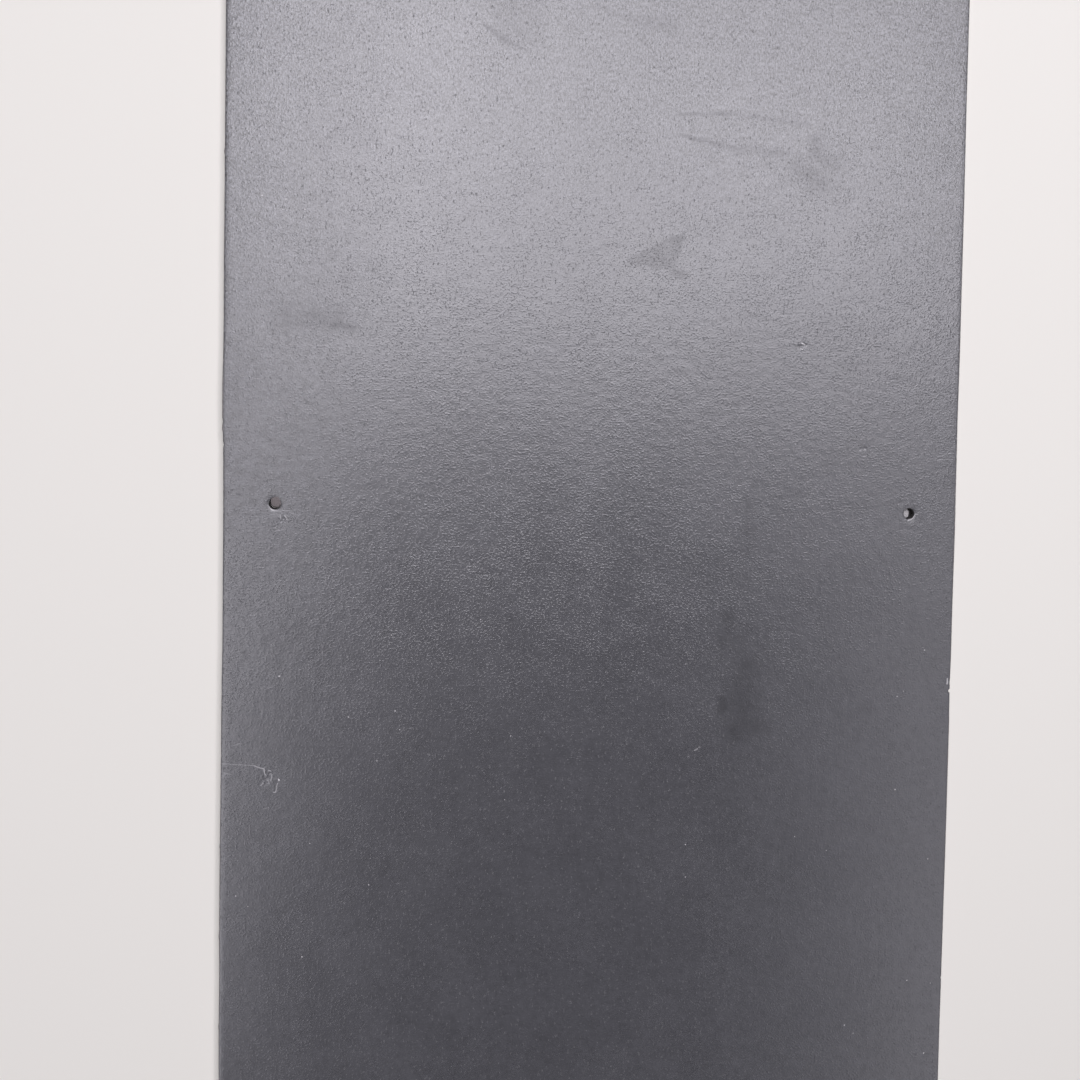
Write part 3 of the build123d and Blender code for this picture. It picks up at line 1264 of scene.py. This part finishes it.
def makeBack(look):
    # the back: bare cement with the print of the felt it was made on, and coat that crept round the edge
    material, tree = newMaterial("feltBack")
    place = tree.place()
    cloud = tree.ramp(tree.noise(place, *look["cloud"]), *look["cloudRange"])
    fine = tree.noise(place, *look["fine"])
    colour = tree.mixColour(cloud, opaque(look["dark"]), opaque(look["cement"]))
    colour = tree.mixColour(tree.ramp(fine, *look["dustRange"]), colour, opaque(look["dust"]))
    inset = tree.use(outlineGroup, {"Vector": place})["Distance"]
    creep = tree.math("MULTIPLY_ADD", tree.noise(place, *look["creep"]), look["creepReach"], inset)
    colour = tree.mixColour(tree.ramp(creep, *look["oversprayRange"]), colour, opaque(look["overspray"]))
    weft = feltPrint(tree, place, *look["weft"])
    warp = tree.math("MULTIPLY", feltPrint(tree, place, *look["warp"]), look["printDepth"])
    height = tree.math("MULTIPLY_ADD", weft, look["printDepth"], warp)
    height = tree.math("ADD", height, fine)
    tree.finish({
        "Base Color": colour,
        "Roughness": look["roughness"],
        "Specular IOR Level": look["specular"],
        "Normal": tree.bump(height, look["depth"]),
    })
    return material


fleckLook = {
    "dark": (0.32, 0.31, 0.31),
    "pale": (0.62, 0.61, 0.62),
    "speckle": (3.0, 2.0, 0.6),
    "roughness": 0.6,
}


def makeFleck(look):
    # a grain that has lost its coat
    material, tree = newMaterial("bareGrain")
    speckle = tree.noise(tree.place(), *look["speckle"])
    colour = tree.mixColour(speckle, opaque(look["dark"]), opaque(look["pale"]))
    tree.finish({"Base Color": colour, "Roughness": look["roughness"]})
    return material


crumbLook = {
    "left": (0.165, 0.147, 0.147),
    # pale: painted light for the floor lit through the right hole
    "right": (0.42, 0.41, 0.41),
    "speckle": (2.2, 3.0, 0.7),
    "speckleShades": (0.7, 1.3),
    "roughness": 0.9,
    "depth": 0.2,
}


def makeCrumb(look):
    # broken cement in the holes, the left one darker than the right one; the right one's pale colour is
    # painted light for the floor lit through the hole
    material, tree = newMaterial("brokenCementAndPaintedLight")
    place = tree.place()
    side = tree.ramp(tree.parts(place)["X"], -1.0, 1.0)
    colour = tree.mixColour(side, opaque(look["left"]), opaque(look["right"]))
    speckle = tree.noise(place, *look["speckle"])
    shade = tree.mixColour(speckle, *[opaque([factor] * 3) for factor in look["speckleShades"]])
    tree.finish({
        "Base Color": tree.mixColour(1.0, colour, shade, "MULTIPLY"),
        "Roughness": look["roughness"],
        "Normal": tree.bump(speckle, look["depth"]),
    })
    return material


wallLook = {
    # near black: painted shade inside the holes
    "dark": (0.022, 0.021, 0.022),
    "pale": (0.05, 0.047, 0.047),
    "drawn": (1.0, 3.0, 0.6),
    "drawnStretch": (2.4, 2.4, 0.5),
    "paleRange": (0.4, 0.7),
    "roughness": 0.85,
    "depth": 0.2,
}


def makeWall(look):
    # the punched wall of a hole, near black as painted shade down inside the hole, with paler drawn streaks
    material, tree = newMaterial("punchedWallPaintedShade")
    drawn = tree.noise(tree.scaled(tree.place(), look["drawnStretch"]), *look["drawn"])
    pale = tree.ramp(drawn, *look["paleRange"])
    tree.finish({
        "Base Color": tree.mixColour(pale, opaque(look["dark"]), opaque(look["pale"])),
        "Roughness": look["roughness"],
        "Normal": tree.bump(drawn, look["depth"]),
    })
    return material


# in the order of slotOf, and then the parts of the coat that have marks
finishes = [
    makeCoat(coatLook, []),
    makeEdge(edgeLook),
    makeBack(backLook),
    makeFleck(fleckLook),
    makeCrumb(crumbLook),
    makeWall(wallLook),
]
finishes += [makeCoat(coatLook, kinds) for kinds in splitCoat(slateSheet, len(finishes))]
for finish in finishes:
    slateSheet.data.materials.append(finish)
print("finishes laid on")

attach(slateSheet, "root")
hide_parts("slate")
